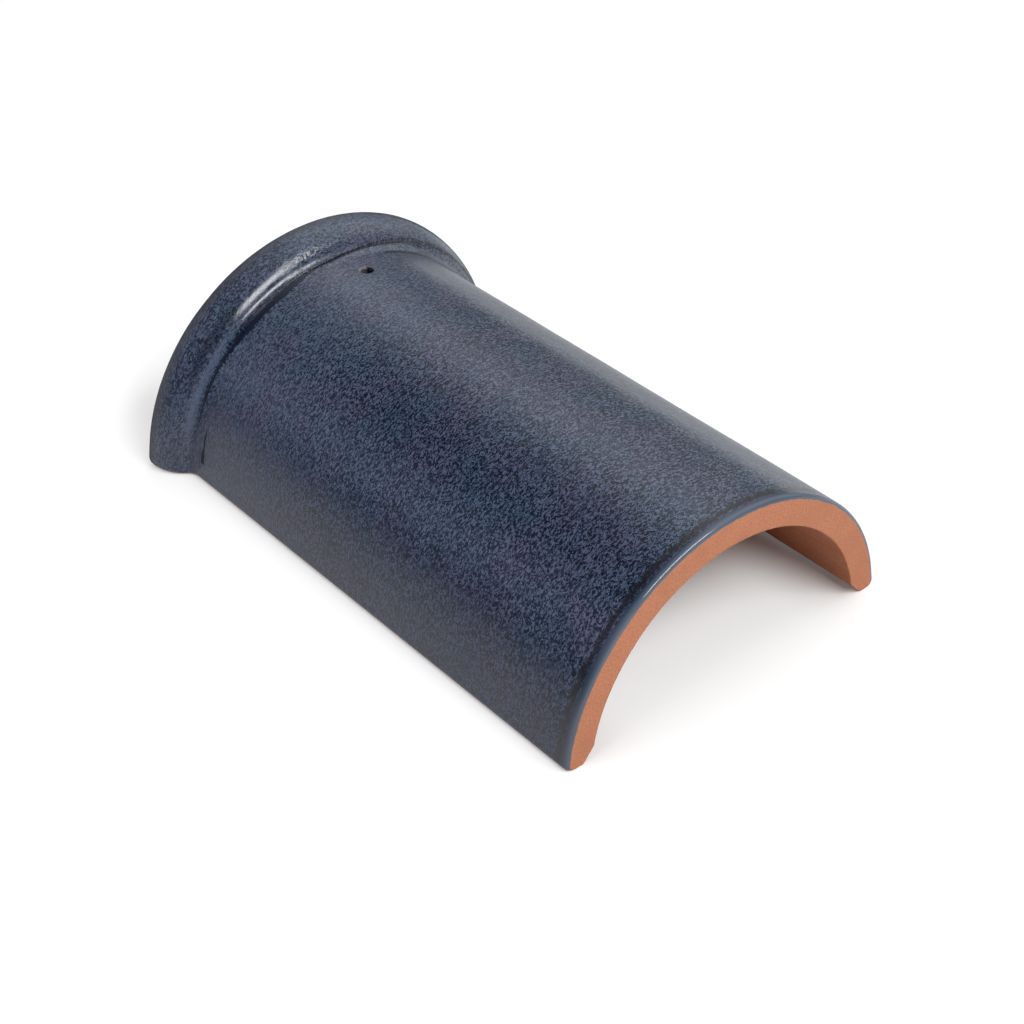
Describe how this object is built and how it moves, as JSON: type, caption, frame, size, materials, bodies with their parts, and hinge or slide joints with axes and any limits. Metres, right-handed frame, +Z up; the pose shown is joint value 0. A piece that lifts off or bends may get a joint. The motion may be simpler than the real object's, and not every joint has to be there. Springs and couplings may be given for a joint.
{
  "type": "ridge tile",
  "caption": "Half-round clay ridge tile, dark blue glazed outside and bare inside, with a beaded collar that laps the next tile and a nail hole through the crown.",
  "frame": {"origin": "centre of the bounding box on the floor plane that the soles stand on", "axes": "+Y along the length from the plain end to the collar, +Z up through the crown, +X across the tile"},
  "size_m": [0.2474, 0.357, 0.1145],
  "materials": {
    "glazed_clay": "glossy mottled blue glaze outside, bare orange clay at the plain end, soles and inside"
  },
  "bodies": {
    "root": {"ridge_tile": "glazed_clay"}
  },
  "joints": []
}
